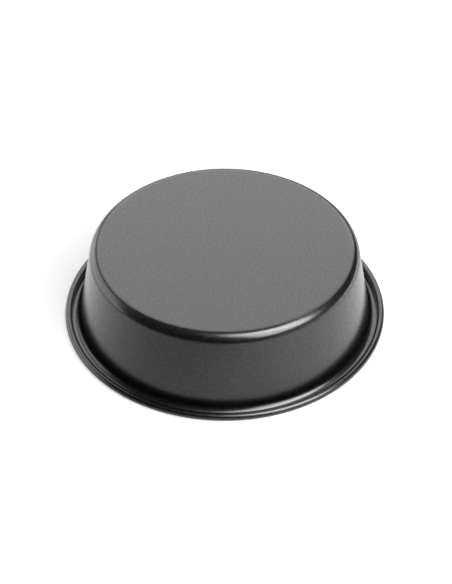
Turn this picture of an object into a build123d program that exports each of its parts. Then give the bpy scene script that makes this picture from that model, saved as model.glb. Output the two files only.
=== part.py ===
"""A round cake tin, standing upside down on its rolled rim.

One sheet of steel is pressed into the whole tin: floor, tapered wall, flange and a rolled edge,
which is closed around a wire ring. All lengths are in millimetres. The origin is the centre of the
rim's face, which rests on z = 0, and +Z runs along the axis, through the floor of the tin.
"""
import os
from math import asin, atan2, degrees, pi, tan

from build123d import *

# The cake side of the sheet, where a tin is measured
mouth_diameter = 227.8      # where the line of the wall meets the face of the rim
floor_diameter = 205.5      # where the line of the wall meets the floor
depth = 64.6                # from the face of the rim to the floor
floor_corner_radius = 7.8   # between the floor and the wall
mouth_radius = 5.7          # where the wall turns out into the flange

# The sheet, and the edge that is rolled from it
sheet_thickness = 0.8
flange_width = 12.1         # from the line of the wall to the outside of the roll
roll_diameter = 5.8         # over the sheet
tuck_gap = 0.15             # between the cut edge of the roll and the flange
wire_clearance = 0.2        # all round the wire

# The outside of the wall runs along the cake side, and its corners lie one mitre further out
wall_draft = atan2(mouth_diameter - floor_diameter, 2 * depth)
corner_mitre = sheet_thickness * tan(pi / 4 - wall_draft / 2)
outside_height = depth + sheet_thickness

# The roll stands on the face of the rim and turns back until its cut edge nearly meets the flange
roll_radius = roll_diameter / 2
roll_bore_radius = roll_radius - sheet_thickness
roll_centre = (mouth_diameter / 2 + flange_width - roll_radius, roll_radius)
tuck_height = sheet_thickness + tuck_gap
roll_start_angle = -90
roll_end_angle = 180 + degrees(asin((roll_radius - tuck_height) / roll_radius))
roll_arc_size = roll_end_angle - roll_start_angle

# The wire fills what the roll leaves
wire_radius = roll_bore_radius - wire_clearance

# The shell: one outline of the sheet, cake side and outside, turned about the axis
with BuildPart() as pan_shell:
    with BuildSketch(Plane.XZ) as sheet_section:
        with BuildLine() as sheet_outline:
            cake_side = FilletPolyline(
                (0, depth),
                (floor_diameter / 2, depth),
                (mouth_diameter / 2, 0),
                (roll_centre[0], 0),
                radius=(floor_corner_radius, mouth_radius),
            )
            outside = FilletPolyline(
                (0, outside_height),
                (floor_diameter / 2 + corner_mitre, outside_height),
                (mouth_diameter / 2 + corner_mitre, sheet_thickness),
                (roll_centre[0], sheet_thickness),
                radius=(floor_corner_radius + sheet_thickness, mouth_radius - sheet_thickness),
            )
            roll = CenterArc(roll_centre, roll_radius, roll_start_angle, roll_arc_size)
            roll_bore = CenterArc(roll_centre, roll_bore_radius, roll_start_angle, roll_arc_size)
            Line(cake_side @ 0, outside @ 0)
            Line(roll @ 1, roll_bore @ 1)
        make_face()
    revolve(axis=Axis.Z)
pan_shell.part.label = "pan_shell"

# The wire: a ring in the middle of the roll
with BuildPart() as rim_wire:
    with BuildSketch(Plane.XZ) as wire_section:
        with Locations(roll_centre):
            Circle(wire_radius)
    revolve(axis=Axis.Z)
rim_wire.part.label = "rim_wire"

os.makedirs("parts", exist_ok=True)
export_step(pan_shell.part, "parts/pan_shell.step")
export_step(rim_wire.part, "parts/rim_wire.step")
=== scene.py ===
"""Dresses a round cake tin, upside down on its rolled rim, and lights it in a plain studio.

The tin is one pressed sheet with a black non-stick coat, and its edge is rolled around a wire.
Lengths are in metres. The rim's face lies on z = 0 and +Z runs along the axis, through the base.
"""
from math import asin, atan2, cos, pi, radians, sin, tan

import bpy
from bpy.props import FloatProperty, FloatVectorProperty, IntProperty, PointerProperty
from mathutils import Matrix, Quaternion, Vector


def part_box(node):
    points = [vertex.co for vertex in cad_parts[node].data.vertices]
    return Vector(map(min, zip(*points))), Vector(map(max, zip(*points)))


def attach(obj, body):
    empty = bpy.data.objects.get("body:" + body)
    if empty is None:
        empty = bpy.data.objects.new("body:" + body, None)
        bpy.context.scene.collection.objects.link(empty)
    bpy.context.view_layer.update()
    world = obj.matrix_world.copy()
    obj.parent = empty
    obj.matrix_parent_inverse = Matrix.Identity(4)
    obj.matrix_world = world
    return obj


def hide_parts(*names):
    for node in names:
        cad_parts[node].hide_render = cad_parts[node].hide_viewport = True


bl_info = {
    "name": "Round Cake Tin",
    "version": (1, 0, 0),
    "blender": (4, 5, 0),
    "location": "View3D > Sidebar > Cake Tin",
    "description": "Models the coated shell of a round cake tin and sets it in a plain studio",
    "category": "Object",
}

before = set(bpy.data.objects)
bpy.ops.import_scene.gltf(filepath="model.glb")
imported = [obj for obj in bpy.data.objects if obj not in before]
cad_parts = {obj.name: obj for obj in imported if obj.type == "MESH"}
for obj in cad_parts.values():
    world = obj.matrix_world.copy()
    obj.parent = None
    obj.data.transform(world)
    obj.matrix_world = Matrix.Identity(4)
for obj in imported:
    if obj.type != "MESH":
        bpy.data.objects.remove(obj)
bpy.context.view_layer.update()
shell_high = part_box("pan_shell")[1]

# Shell: where the flat floor has a ring of the mesh, as shares of its radius, and the angles
# between faces above which an edge is eased, or stays sharp in the shading
FLOOR_RINGS = (0, 0.15, 0.4, 0.7, 0.9)
EASED_ANGLE = radians(60)
SHARP_ANGLE = radians(40)

# Materials: how many finer layers each noise adds, the middle of a noise that runs from 0 to 1,
# and where the grain's noise turns from dark to light
GRAIN_DETAIL = 3.0
CLOUD_DETAIL = 2.0
PEEL_DETAIL = 1.0
STREAK_DETAIL = 2.0
NOISE_MIDDLE = 0.5
GRAIN_STOPS = ((0.38, 0), (0.62, 1))
NODE_SPACING = 200

# Where the lamps hang: azimuth from the right towards the back, elevation, distance, width,
# height, and a turn about the line to the tin. Only the first lights the tin and the table, and
# the coat alone reflects the others.
LAMPS = {
    "soft_lamp": (radians(-38), radians(52), 1.2, 0.9, 1.0, 0),
    "softbox": (radians(-40), radians(50.3), 1.1, 0.827, 0.996, radians(-2.3)),
    "softbox_edge": (radians(-32), radians(61), 1.3, 0.365, 1.23, radians(19.8)),
    "backdrop": (radians(84.6), radians(41.3), 1.6, 1.83, 1.563, radians(-4.4)),
    "side_panel": (radians(154.5), radians(11.4), 1.8, 1.844, 1.99, radians(40.2)),
    "low_panel": (radians(-19.2), radians(5.9), 2.2, 3.06, 0.69, 0),
}
LAMP_AIM = (0, 0, 0.03)

# Pools of light on the table that the coat reflects: centre, reach and level
TABLE_POOLS = (
    ((0.94, 0.14), 0.79, 6.5),
    ((-0.675, 0.579), 1.5, 1.44),
    ((0.17, -0.18), 0.3, 1.32),
)


class TinSizes(bpy.types.PropertyGroup):
    """Sizes of the sheet that the tin is pressed from, measured on the cake side."""

    rim_radius: FloatProperty(
        name="Rim radius", description="From the axis to the outside of the roll",
        default=shell_high.x, min=0.02, subtype="DISTANCE", unit="LENGTH",
    )
    height: FloatProperty(
        name="Height", description="From the face of the rim to the outside of the base",
        default=shell_high.z, min=0.01, subtype="DISTANCE", unit="LENGTH",
    )
    sheet_thickness: FloatProperty(
        name="Sheet thickness", description="Thickness of the coated sheet",
        default=0.0008, min=0.0003, subtype="DISTANCE", unit="LENGTH", precision=4,
    )
    mouth_radius: FloatProperty(
        name="Mouth radius", description="Where the line of the wall meets the face of the rim",
        default=0.1139, min=0.02, subtype="DISTANCE", unit="LENGTH",
    )
    floor_radius: FloatProperty(
        name="Floor radius", description="Where the line of the wall meets the floor",
        default=0.10275, min=0.02, subtype="DISTANCE", unit="LENGTH",
    )
    floor_corner: FloatProperty(
        name="Floor corner", description="Radius of the corner between the floor and the wall",
        default=0.0078, min=0.001, subtype="DISTANCE", unit="LENGTH", precision=4,
    )
    mouth_corner: FloatProperty(
        name="Mouth corner", description="Radius where the wall turns out into the flange",
        default=0.0057, min=0.001, subtype="DISTANCE", unit="LENGTH", precision=4,
    )
    roll_radius: FloatProperty(
        name="Roll radius", description="Outer radius of the rolled edge",
        default=0.0029, min=0.001, subtype="DISTANCE", unit="LENGTH", precision=4,
    )
    tuck_gap: FloatProperty(
        name="Tuck gap", description="Between the cut edge of the roll and the flange",
        default=0.00015, min=0.0, subtype="DISTANCE", unit="LENGTH", precision=5,
    )
    cut_edge_bevel: FloatProperty(
        name="Cut edge bevel", description="Width of the eased corners on the sheet's cut edge",
        default=0.0001, min=0.0, subtype="DISTANCE", unit="LENGTH", precision=5,
    )
    turn_steps: IntProperty(
        name="Steps round the axis", description="Faces in one turn of the shell",
        default=360, min=48, max=720,
    )
    bend_step: FloatProperty(
        name="Bend step", description="Angle between two rings in a corner",
        default=radians(6), min=radians(1), subtype="ANGLE",
    )
    roll_step: FloatProperty(
        name="Roll step", description="Angle between two rings of the rolled edge",
        default=radians(9), min=radians(1), subtype="ANGLE",
    )


class CoatLook(bpy.types.PropertyGroup):
    """The sprayed non-stick coat."""

    dark_colour: FloatVectorProperty(
        name="Dark grain", description="Colour of the coat between its lighter grains",
        default=(0.0005, 0.0005, 0.0005), size=3, min=0.0, max=1.0, subtype="COLOR",
    )
    light_colour: FloatVectorProperty(
        name="Light grain", description="Colour of the lighter grains of the coat",
        default=(0.009, 0.009, 0.0092), size=3, min=0.0, max=1.0, subtype="COLOR",
    )
    refraction: FloatProperty(
        name="Refraction", description="Index of refraction, which sets how much the coat reflects",
        default=1.38, min=1.0, max=3.0,
    )
    roughness: FloatProperty(
        name="Roughness", description="Mean roughness of the coat",
        default=0.22, min=0.0, max=1.0, subtype="FACTOR",
    )
    grain_roughness: FloatProperty(
        name="Grain roughness", description="How far the grain moves the roughness",
        default=0.05, min=0.0, max=1.0, subtype="FACTOR",
    )
    cloud_roughness: FloatProperty(
        name="Cloud roughness", description="How far thick and thin spraying moves the roughness",
        default=0.03, min=0.0, max=1.0, subtype="FACTOR",
    )
    haze: FloatProperty(
        name="Haze", description="Strength of the wider shine around each reflection",
        default=0.55, min=0.0, max=1.0, subtype="FACTOR",
    )
    haze_roughness: FloatProperty(
        name="Haze roughness", description="Roughness of that wider shine",
        default=0.3, min=0.0, max=1.0, subtype="FACTOR",
    )
    grain_haze: FloatProperty(
        name="Grain haze", description="How far the grain moves the strength of the wider shine",
        default=0.22, min=0.0, max=1.0, subtype="FACTOR",
    )
    grain_size: FloatProperty(
        name="Grain size", description="Width of the grains that the spray dries to",
        default=0.0016, min=0.0001, subtype="DISTANCE", unit="LENGTH", precision=5,
    )
    grain_height: FloatProperty(
        name="Grain height", description="Height of the grains",
        default=0.000002, min=0.0, subtype="DISTANCE", unit="LENGTH", precision=6,
    )
    peel_size: FloatProperty(
        name="Orange peel size", description="Width of the soft waves that the coat flows to",
        default=0.0024, min=0.0001, subtype="DISTANCE", unit="LENGTH", precision=5,
    )
    peel_height: FloatProperty(
        name="Orange peel height", description="Height of those waves",
        default=0.000005, min=0.0, subtype="DISTANCE", unit="LENGTH", precision=6,
    )
    cloud_size: FloatProperty(
        name="Cloud size", description="Width of the areas that were sprayed thicker or thinner",
        default=0.03, min=0.001, subtype="DISTANCE", unit="LENGTH",
    )


class WireLook(bpy.types.PropertyGroup):
    """The drawn wire inside the rolled edge."""

    colour: FloatVectorProperty(
        name="Colour", description="Colour of the bare steel",
        default=(0.56, 0.56, 0.57), size=3, min=0.0, max=1.0, subtype="COLOR",
    )
    roughness: FloatProperty(
        name="Roughness", description="Mean roughness of the drawn steel",
        default=0.34, min=0.0, max=1.0, subtype="FACTOR",
    )
    streak_roughness: FloatProperty(
        name="Streak roughness", description="How far the die marks move the roughness",
        default=0.2, min=0.0, max=1.0, subtype="FACTOR",
    )
    streak_size: FloatProperty(
        name="Streak size", description="Width of the die marks",
        default=0.0004, min=0.0001, subtype="DISTANCE", unit="LENGTH", precision=5,
    )
    streak_height: FloatProperty(
        name="Streak height", description="Height of the die marks",
        default=0.000004, min=0.0, subtype="DISTANCE", unit="LENGTH", precision=6,
    )


class StudioSetup(bpy.types.PropertyGroup):
    """Floor, which is a white table top, with the lights and the camera.

    A level is how bright white paint comes out in the light, or the light itself in a mirror.
    """

    floor_size: FloatProperty(
        name="Floor size", description="Side of the white table top",
        default=8.0, min=1.0, subtype="DISTANCE", unit="LENGTH",
    )
    floor_colour: FloatVectorProperty(
        name="Floor colour", description="Colour of the table top",
        default=(0.9, 0.9, 0.9), size=3, min=0.0, max=1.0, subtype="COLOR",
    )
    floor_roughness: FloatProperty(
        name="Floor roughness", description="Roughness of the table top",
        default=0.9, min=0.0, max=1.0, subtype="FACTOR",
    )
    floor_glow: FloatProperty(
        name="Floor glow", description="Light of the table top that the camera alone sees",
        default=0.62, min=0.0,
    )
    dome_level: FloatProperty(
        name="Dome level", description="Soft light from all round",
        default=0.245, min=0.0,
    )
    room_level: FloatProperty(
        name="Room reflection", description="Brightness of the dim room in the coat",
        default=0.076, min=0.0,
    )
    soft_lamp_level: FloatProperty(
        name="Lamp level", description="Brightness of the lamp that lights the tin and the table",
        default=3.3, min=0.0,
    )
    softbox_level: FloatProperty(
        name="Softbox reflection", description="Brightness of the softbox in the coat",
        default=11.5, min=0.0,
    )
    softbox_edge_level: FloatProperty(
        name="Softbox edge reflection", description="Brightness of the softbox's edge in the coat",
        default=8.6, min=0.0,
    )
    backdrop_level: FloatProperty(
        name="Backdrop reflection", description="Brightness of the lit backdrop in the coat",
        default=3.15, min=0.0,
    )
    side_panel_level: FloatProperty(
        name="Side reflection", description="Brightness of the panel at the left in the coat",
        default=2.92, min=0.0,
    )
    low_panel_level: FloatProperty(
        name="Low reflection", description="Brightness of the low panel at the right in the coat",
        default=0.84, min=0.0,
    )
    camera_distance: FloatProperty(
        name="Camera distance", description="From the middle of the rim's face",
        default=1.512, min=0.1, subtype="DISTANCE", unit="LENGTH",
    )
    camera_elevation: FloatProperty(
        name="Camera elevation", description="Height of the camera above the horizon",
        default=radians(41.51), subtype="ANGLE",
    )
    camera_roll: FloatProperty(
        name="Camera roll", description="Tilt of the picture",
        default=radians(-0.06), subtype="ANGLE",
    )
    camera_target: FloatVectorProperty(
        name="Camera target", description="Point in the middle of the picture",
        default=(0.00104, 0.0, 0.0190), size=3, subtype="XYZ", unit="LENGTH",
    )
    focal_length: FloatProperty(
        name="Focal length", description="On a sensor as long as the picture's long side",
        default=117.6, min=10.0, unit="CAMERA",
    )
    sensor_size: FloatProperty(
        name="Sensor size", description="Long side of the sensor",
        default=36.0, min=1.0, unit="CAMERA",
    )


class Signal:
    """The output of a shader node, with arithmetic: each sum adds its Math node."""

    def __init__(self, tree, socket):
        self.tree = tree
        self.socket = socket

    def math(self, operation, *terms):
        """A Math node on these terms, which are numbers or signals."""
        inputs = dict(enumerate(terms))
        return self.tree.node("ShaderNodeMath", {"operation": operation}, inputs)

    def __add__(self, other):
        return self.math("ADD", self, other)

    def __radd__(self, other):
        return self.math("ADD", other, self)

    def __sub__(self, other):
        return self.math("SUBTRACT", self, other)

    def __rsub__(self, other):
        return self.math("SUBTRACT", other, self)

    def __mul__(self, other):
        return self.math("MULTIPLY", self, other)

    def __rmul__(self, other):
        return self.math("MULTIPLY", other, self)

    def output(self, name):
        """Another output of the same node, by its name or number."""
        return Signal(self.tree, self.socket.node.outputs[name])


class Nodes:
    """An empty node tree, and the one way in which this script fills it."""

    def __init__(self, owner):
        owner.use_nodes = True
        self.tree = owner.node_tree
        self.tree.nodes.clear()

    def node(self, kind, settings=None, inputs=None):
        """Adds a node, sets it, feeds its sockets values or signals, and gives its first output."""
        made = self.tree.nodes.new(kind)
        made.location.x = NODE_SPACING * len(self.tree.nodes)
        for name, value in (settings or {}).items():
            if name == "stops":
                for element, (position, grey) in zip(made.color_ramp.elements, value):
                    element.position = position
                    element.color = (grey, grey, grey, 1)
            else:
                setattr(made, name, value)
        for name, value in (inputs or {}).items():
            if isinstance(value, Signal):
                self.tree.links.new(value.socket, made.inputs[name])
            elif made.inputs[name].type == "RGBA":
                made.inputs[name].default_value = (*value, 1)
            else:
                made.inputs[name].default_value = value
        return Signal(self, made.outputs[0]) if made.outputs else None

    def noise(self, width, detail):
        """Noise on the piece's own coordinates, from 0 to 1, with features of this width."""
        place = self.node("ShaderNodeTexCoord").output("Object")
        inputs = {"Vector": place, "Scale": 1 / width, "Detail": detail}
        return self.node("ShaderNodeTexNoise", {"noise_dimensions": "3D"}, inputs)

    def bump(self, relief):
        """Normals of a surface with this relief, which is in metres."""
        inputs = {"Strength": 1.0, "Distance": 1.0, "Height": relief}
        return self.node("ShaderNodeBump", None, inputs)


def make_coat_material(look):
    """Black sprayed coat: a fine grain on soft waves, and a close shine inside a wider haze."""
    material = bpy.data.materials.new("nonstick_coat")
    nodes = Nodes(material)
    grain = nodes.noise(look.grain_size, GRAIN_DETAIL)
    cloud = nodes.noise(look.cloud_size, CLOUD_DETAIL)
    peel = nodes.noise(look.peel_size, PEEL_DETAIL)
    spread = nodes.node("ShaderNodeValToRGB", {"stops": GRAIN_STOPS}, {"Fac": grain})
    unevenness = (grain - NOISE_MIDDLE) * look.grain_roughness
    unevenness += (cloud - NOISE_MIDDLE) * look.cloud_roughness
    colour = nodes.node(
        "ShaderNodeMix", {"data_type": "RGBA"},
        {"Factor": spread, 6: look.dark_colour, 7: look.light_colour},
    )
    coat = nodes.node("ShaderNodeBsdfPrincipled", None, {
        "Base Color": colour.output(2),
        "Roughness": look.roughness + unevenness,
        "IOR": look.refraction,
        "Coat Weight": look.haze + (spread - NOISE_MIDDLE) * look.grain_haze,
        "Coat Roughness": look.haze_roughness,
        "Coat IOR": look.refraction,
        "Normal": nodes.bump(grain * look.grain_height + peel * look.peel_height),
    })
    nodes.node("ShaderNodeOutputMaterial", None, {"Surface": coat})
    return material


def make_wire_material(look):
    """Bright drawn steel with fine die marks."""
    material = bpy.data.materials.new("wire_steel")
    nodes = Nodes(material)
    streak = nodes.noise(look.streak_size, STREAK_DETAIL)
    steel = nodes.node("ShaderNodeBsdfPrincipled", None, {
        "Base Color": look.colour,
        "Metallic": 1.0,
        "Roughness": look.roughness + (streak - NOISE_MIDDLE) * look.streak_roughness,
        "Normal": nodes.bump(streak * look.streak_height),
    })
    nodes.node("ShaderNodeOutputMaterial", None, {"Surface": steel})
    return material


def arc_points(centre, radius, start, end, step):
    """Points along an arc in the section's plane, both ends included, evenly spaced."""
    count = max(2, round(abs(end - start) / step))
    angles = [start + (end - start) * i / count for i in range(count + 1)]
    return [Vector((centre[0] + radius * cos(a), 0, centre[1] + radius * sin(a))) for a in angles]


def section_points(tin):
    """The cake side of the sheet, from the axis over the floor, down the wall, round the roll."""
    depth = tin.height - tin.sheet_thickness
    draft = atan2(tin.mouth_radius - tin.floor_radius, depth)
    # A corner's centre lies its radius inside both of the lines that it joins
    corner_reach = tin.floor_corner * tan(pi / 4 - draft / 2)
    corner_centre = (tin.floor_radius - corner_reach, depth - tin.floor_corner)
    mouth_reach = tin.mouth_corner * tan(pi / 4 - draft / 2)
    mouth_centre = (tin.mouth_radius + mouth_reach, tin.mouth_corner)
    # The roll turns from the rim's face until its cut edge nearly meets the flange
    roll_centre = (tin.rim_radius - tin.roll_radius, tin.roll_radius)
    tuck_drop = tin.roll_radius - tin.sheet_thickness - tin.tuck_gap
    tuck_angle = pi + asin(tuck_drop / tin.roll_radius)
    return [
        *(Vector((share * corner_centre[0], 0, depth)) for share in FLOOR_RINGS),
        *arc_points(corner_centre, tin.floor_corner, pi / 2, draft, tin.bend_step),
        *arc_points(mouth_centre, tin.mouth_corner, pi + draft, 1.5 * pi, tin.bend_step),
        *arc_points(roll_centre, tin.roll_radius, -pi / 2, tuck_angle, tin.roll_step),
    ]


def start_at(point):
    """Leaves edit mode open on a new mesh that holds one selected vertex at the point."""
    bpy.ops.object.select_all(action="DESELECT")
    bpy.ops.mesh.primitive_plane_add()
    bpy.ops.object.mode_set(mode="EDIT")
    bpy.ops.mesh.select_all(action="SELECT")
    bpy.ops.mesh.merge(type="CENTER")
    bpy.ops.transform.translate(value=point)


def apply_modifier(kind, **settings):
    """Adds a modifier to the active object, sets it and applies it."""
    bpy.ops.object.modifier_add(type=kind)
    modifier = bpy.context.object.modifiers[-1]
    for name, value in settings.items():
        setattr(modifier, name, value)
    bpy.ops.object.modifier_apply(modifier=modifier.name)


class CAKETIN_OT_make_shell(bpy.types.Operator):
    """Spin the section of the sheet about the axis, thicken it and coat it"""

    bl_idname = "caketin.make_shell"
    bl_label = "Make Shell"
    bl_options = {"REGISTER", "UNDO"}

    def execute(self, context):
        tin = context.scene.tin_sizes
        points = section_points(tin)
        start_at(points[0])
        for here, there in zip(points, points[1:]):
            bpy.ops.mesh.extrude_vertices_move(TRANSFORM_OT_translate={"value": there - here})
        bpy.ops.mesh.select_all(action="SELECT")
        bpy.ops.mesh.spin(steps=tin.turn_steps, angle=2 * pi, center=(0, 0, 0), axis=(0, 0, 1))
        # The spin's last section lies on its first, and they merge well within the tuck's gap
        bpy.ops.mesh.select_all(action="SELECT")
        bpy.ops.mesh.remove_doubles(threshold=tin.tuck_gap / 10)
        bpy.ops.mesh.normals_make_consistent(inside=False)
        bpy.ops.object.mode_set(mode="OBJECT")
        shell = context.object
        shell.name = shell.data.name = "coated_shell"
        # The sheet is thickened towards its normals, which have to point out of the base
        if max(shell.data.polygons, key=lambda face: face.center.z).normal.z < 0:
            bpy.ops.object.mode_set(mode="EDIT")
            bpy.ops.mesh.flip_normals()
            bpy.ops.object.mode_set(mode="OBJECT")
        apply_modifier("SOLIDIFY", thickness=tin.sheet_thickness, offset=1.0, use_even_offset=True)
        apply_modifier(
            "BEVEL", width=tin.cut_edge_bevel, segments=2,
            limit_method="ANGLE", angle_limit=EASED_ANGLE,
        )
        bpy.ops.object.shade_smooth_by_angle(angle=SHARP_ANGLE)
        apply_modifier("WEIGHTED_NORMAL", keep_sharp=True)
        shell.data.materials.clear()
        shell.data.materials.append(make_coat_material(context.scene.coat_look))
        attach(shell, "root")
        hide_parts("pan_shell")
        return {"FINISHED"}


class CAKETIN_OT_finish_wire(bpy.types.Operator):
    """Give the wire inside the rolled edge its bare steel"""

    bl_idname = "caketin.finish_wire"
    bl_label = "Finish Wire"
    bl_options = {"REGISTER", "UNDO"}

    def execute(self, context):
        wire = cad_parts["rim_wire"]
        steel = make_wire_material(context.scene.wire_look)
        for material_slot in wire.material_slots:
            material_slot.material = steel
        return {"FINISHED"}


def make_floor_material(studio):
    """White table top, with pools of light beside the tin that only reflections show."""
    material = bpy.data.materials.new("white_table")
    nodes = Nodes(material)
    path = nodes.node("ShaderNodeLightPath")
    place = nodes.node("ShaderNodeTexCoord").output("Object")
    pools = 0
    for centre, reach, level in TABLE_POOLS:
        ends = {0: place, 1: (*centre, 0)}
        away = nodes.node("ShaderNodeVectorMath", {"operation": "DISTANCE"}, ends).output("Value")
        pools = pools + nodes.node("ShaderNodeMapRange", {"interpolation_type": "SMOOTHSTEP"}, {
            "Value": away, "From Min": 0, "From Max": reach, "To Min": level, "To Max": 0,
        })
    glow = path.output("Is Camera Ray") * studio.floor_glow + path.output("Is Glossy Ray") * pools
    paint = nodes.node("ShaderNodeBsdfPrincipled", None, {
        "Base Color": studio.floor_colour,
        "Roughness": studio.floor_roughness,
        "Specular IOR Level": 0.0,
        "Emission Color": (1, 1, 1),
        "Emission Strength": glow,
    })
    nodes.node("ShaderNodeOutputMaterial", None, {"Surface": paint})
    return material


def add_lamp(name, level, seen_by):
    """A soft rectangle of light, turned towards the tin. Only the named kind of ray meets it."""
    azimuth, elevation, distance, width, height, tilt = LAMPS[name]
    away = Vector((cos(azimuth) * cos(elevation), sin(azimuth) * cos(elevation), sin(elevation)))
    lamp = bpy.data.lights.new(name, "AREA")
    lamp.shape = "RECTANGLE"
    lamp.size, lamp.size_y = width, height
    lamp.energy = level * pi * width * height
    holder = bpy.data.objects.new(name, lamp)
    bpy.context.collection.objects.link(holder)
    holder.location = away * distance + Vector(LAMP_AIM)
    holder.rotation_mode = "QUATERNION"
    holder.rotation_quaternion = (-away).to_track_quat("-Z", "Y") @ Quaternion((0, 0, 1), tilt)
    holder.visible_camera = False
    holder.visible_diffuse = seen_by == "diffuse"
    holder.visible_glossy = seen_by == "glossy"


class CAKETIN_OT_make_studio(bpy.types.Operator):
    """Set the tin on a white table, light it softly and place the camera"""

    bl_idname = "caketin.make_studio"
    bl_label = "Make Studio"
    bl_options = {"REGISTER", "UNDO"}

    def execute(self, context):
        studio = context.scene.studio_setup
        bpy.ops.object.select_all(action="DESELECT")
        bpy.ops.mesh.primitive_plane_add(size=studio.floor_size)
        floor = context.object
        floor.name = floor.data.name = "white_table"
        floor.data.materials.append(make_floor_material(studio))
        self.light(context, studio)
        self.place_camera(context, studio)
        context.scene.view_settings.view_transform = "Standard"
        return {"FINISHED"}

    def light(self, context, studio):
        """White for the camera, a dome and a soft lamp for the tin, and panels for reflections."""
        world = bpy.data.worlds.new("studio")
        context.scene.world = world
        nodes = Nodes(world)
        path = nodes.node("ShaderNodeLightPath")
        glossy = path.output("Is Glossy Ray")
        camera = path.output("Is Camera Ray")
        around = (1 - glossy) * studio.dome_level + glossy * studio.room_level
        level = camera + (1 - camera) * around
        dome = nodes.node("ShaderNodeBackground", None, {"Color": (1, 1, 1), "Strength": level})
        nodes.node("ShaderNodeOutputWorld", None, {"Surface": dome})
        for name in LAMPS:
            seen_by = "diffuse" if name == "soft_lamp" else "glossy"
            add_lamp(name, getattr(studio, name + "_level"), seen_by)

    def place_camera(self, context, studio):
        """A long lens in front of the tin, looking down on it."""
        lens = bpy.data.cameras.new("camera")
        lens.sensor_width = studio.sensor_size
        lens.lens = studio.focal_length
        camera = bpy.data.objects.new("camera", lens)
        context.collection.objects.link(camera)
        away = Vector((0, -cos(studio.camera_elevation), sin(studio.camera_elevation)))
        camera.location = away * studio.camera_distance
        camera.rotation_mode = "QUATERNION"
        facing = (Vector(studio.camera_target) - camera.location).to_track_quat("-Z", "Y")
        camera.rotation_quaternion = facing @ Quaternion((0, 0, 1), studio.camera_roll)
        context.scene.camera = camera


class CAKETIN_PT_panel(bpy.types.Panel):
    """Buttons and sizes of the cake tin."""

    bl_idname = "CAKETIN_PT_panel"
    bl_label = "Round Cake Tin"
    bl_space_type = "VIEW_3D"
    bl_region_type = "UI"
    bl_category = "Cake Tin"

    def draw(self, context):
        layout = self.layout
        for operator in OPERATORS:
            layout.operator(operator.bl_idname)
        for name in SETTINGS:
            group = getattr(context.scene, name)
            box = layout.box()
            box.label(text=name.replace("_", " ").capitalize())
            for prop in group.bl_rna.properties:
                if not prop.is_readonly:
                    box.prop(group, prop.identifier)


SETTINGS = {
    "tin_sizes": TinSizes,
    "coat_look": CoatLook,
    "wire_look": WireLook,
    "studio_setup": StudioSetup,
}
OPERATORS = (CAKETIN_OT_make_shell, CAKETIN_OT_finish_wire, CAKETIN_OT_make_studio)


def register():
    for group in SETTINGS.values():
        bpy.utils.register_class(group)
    for name, group in SETTINGS.items():
        setattr(bpy.types.Scene, name, PointerProperty(type=group))
    for operator in OPERATORS:
        bpy.utils.register_class(operator)
    bpy.utils.register_class(CAKETIN_PT_panel)


def unregister():
    bpy.utils.unregister_class(CAKETIN_PT_panel)
    for operator in reversed(OPERATORS):
        bpy.utils.unregister_class(operator)
    for name in SETTINGS:
        delattr(bpy.types.Scene, name)
    for group in SETTINGS.values():
        bpy.utils.unregister_class(group)


def main():
    """Builds the tin and its studio."""
    register()
    bpy.ops.caketin.make_shell()
    bpy.ops.caketin.finish_wire()
    bpy.ops.caketin.make_studio()


if __name__ == "__main__":
    main()
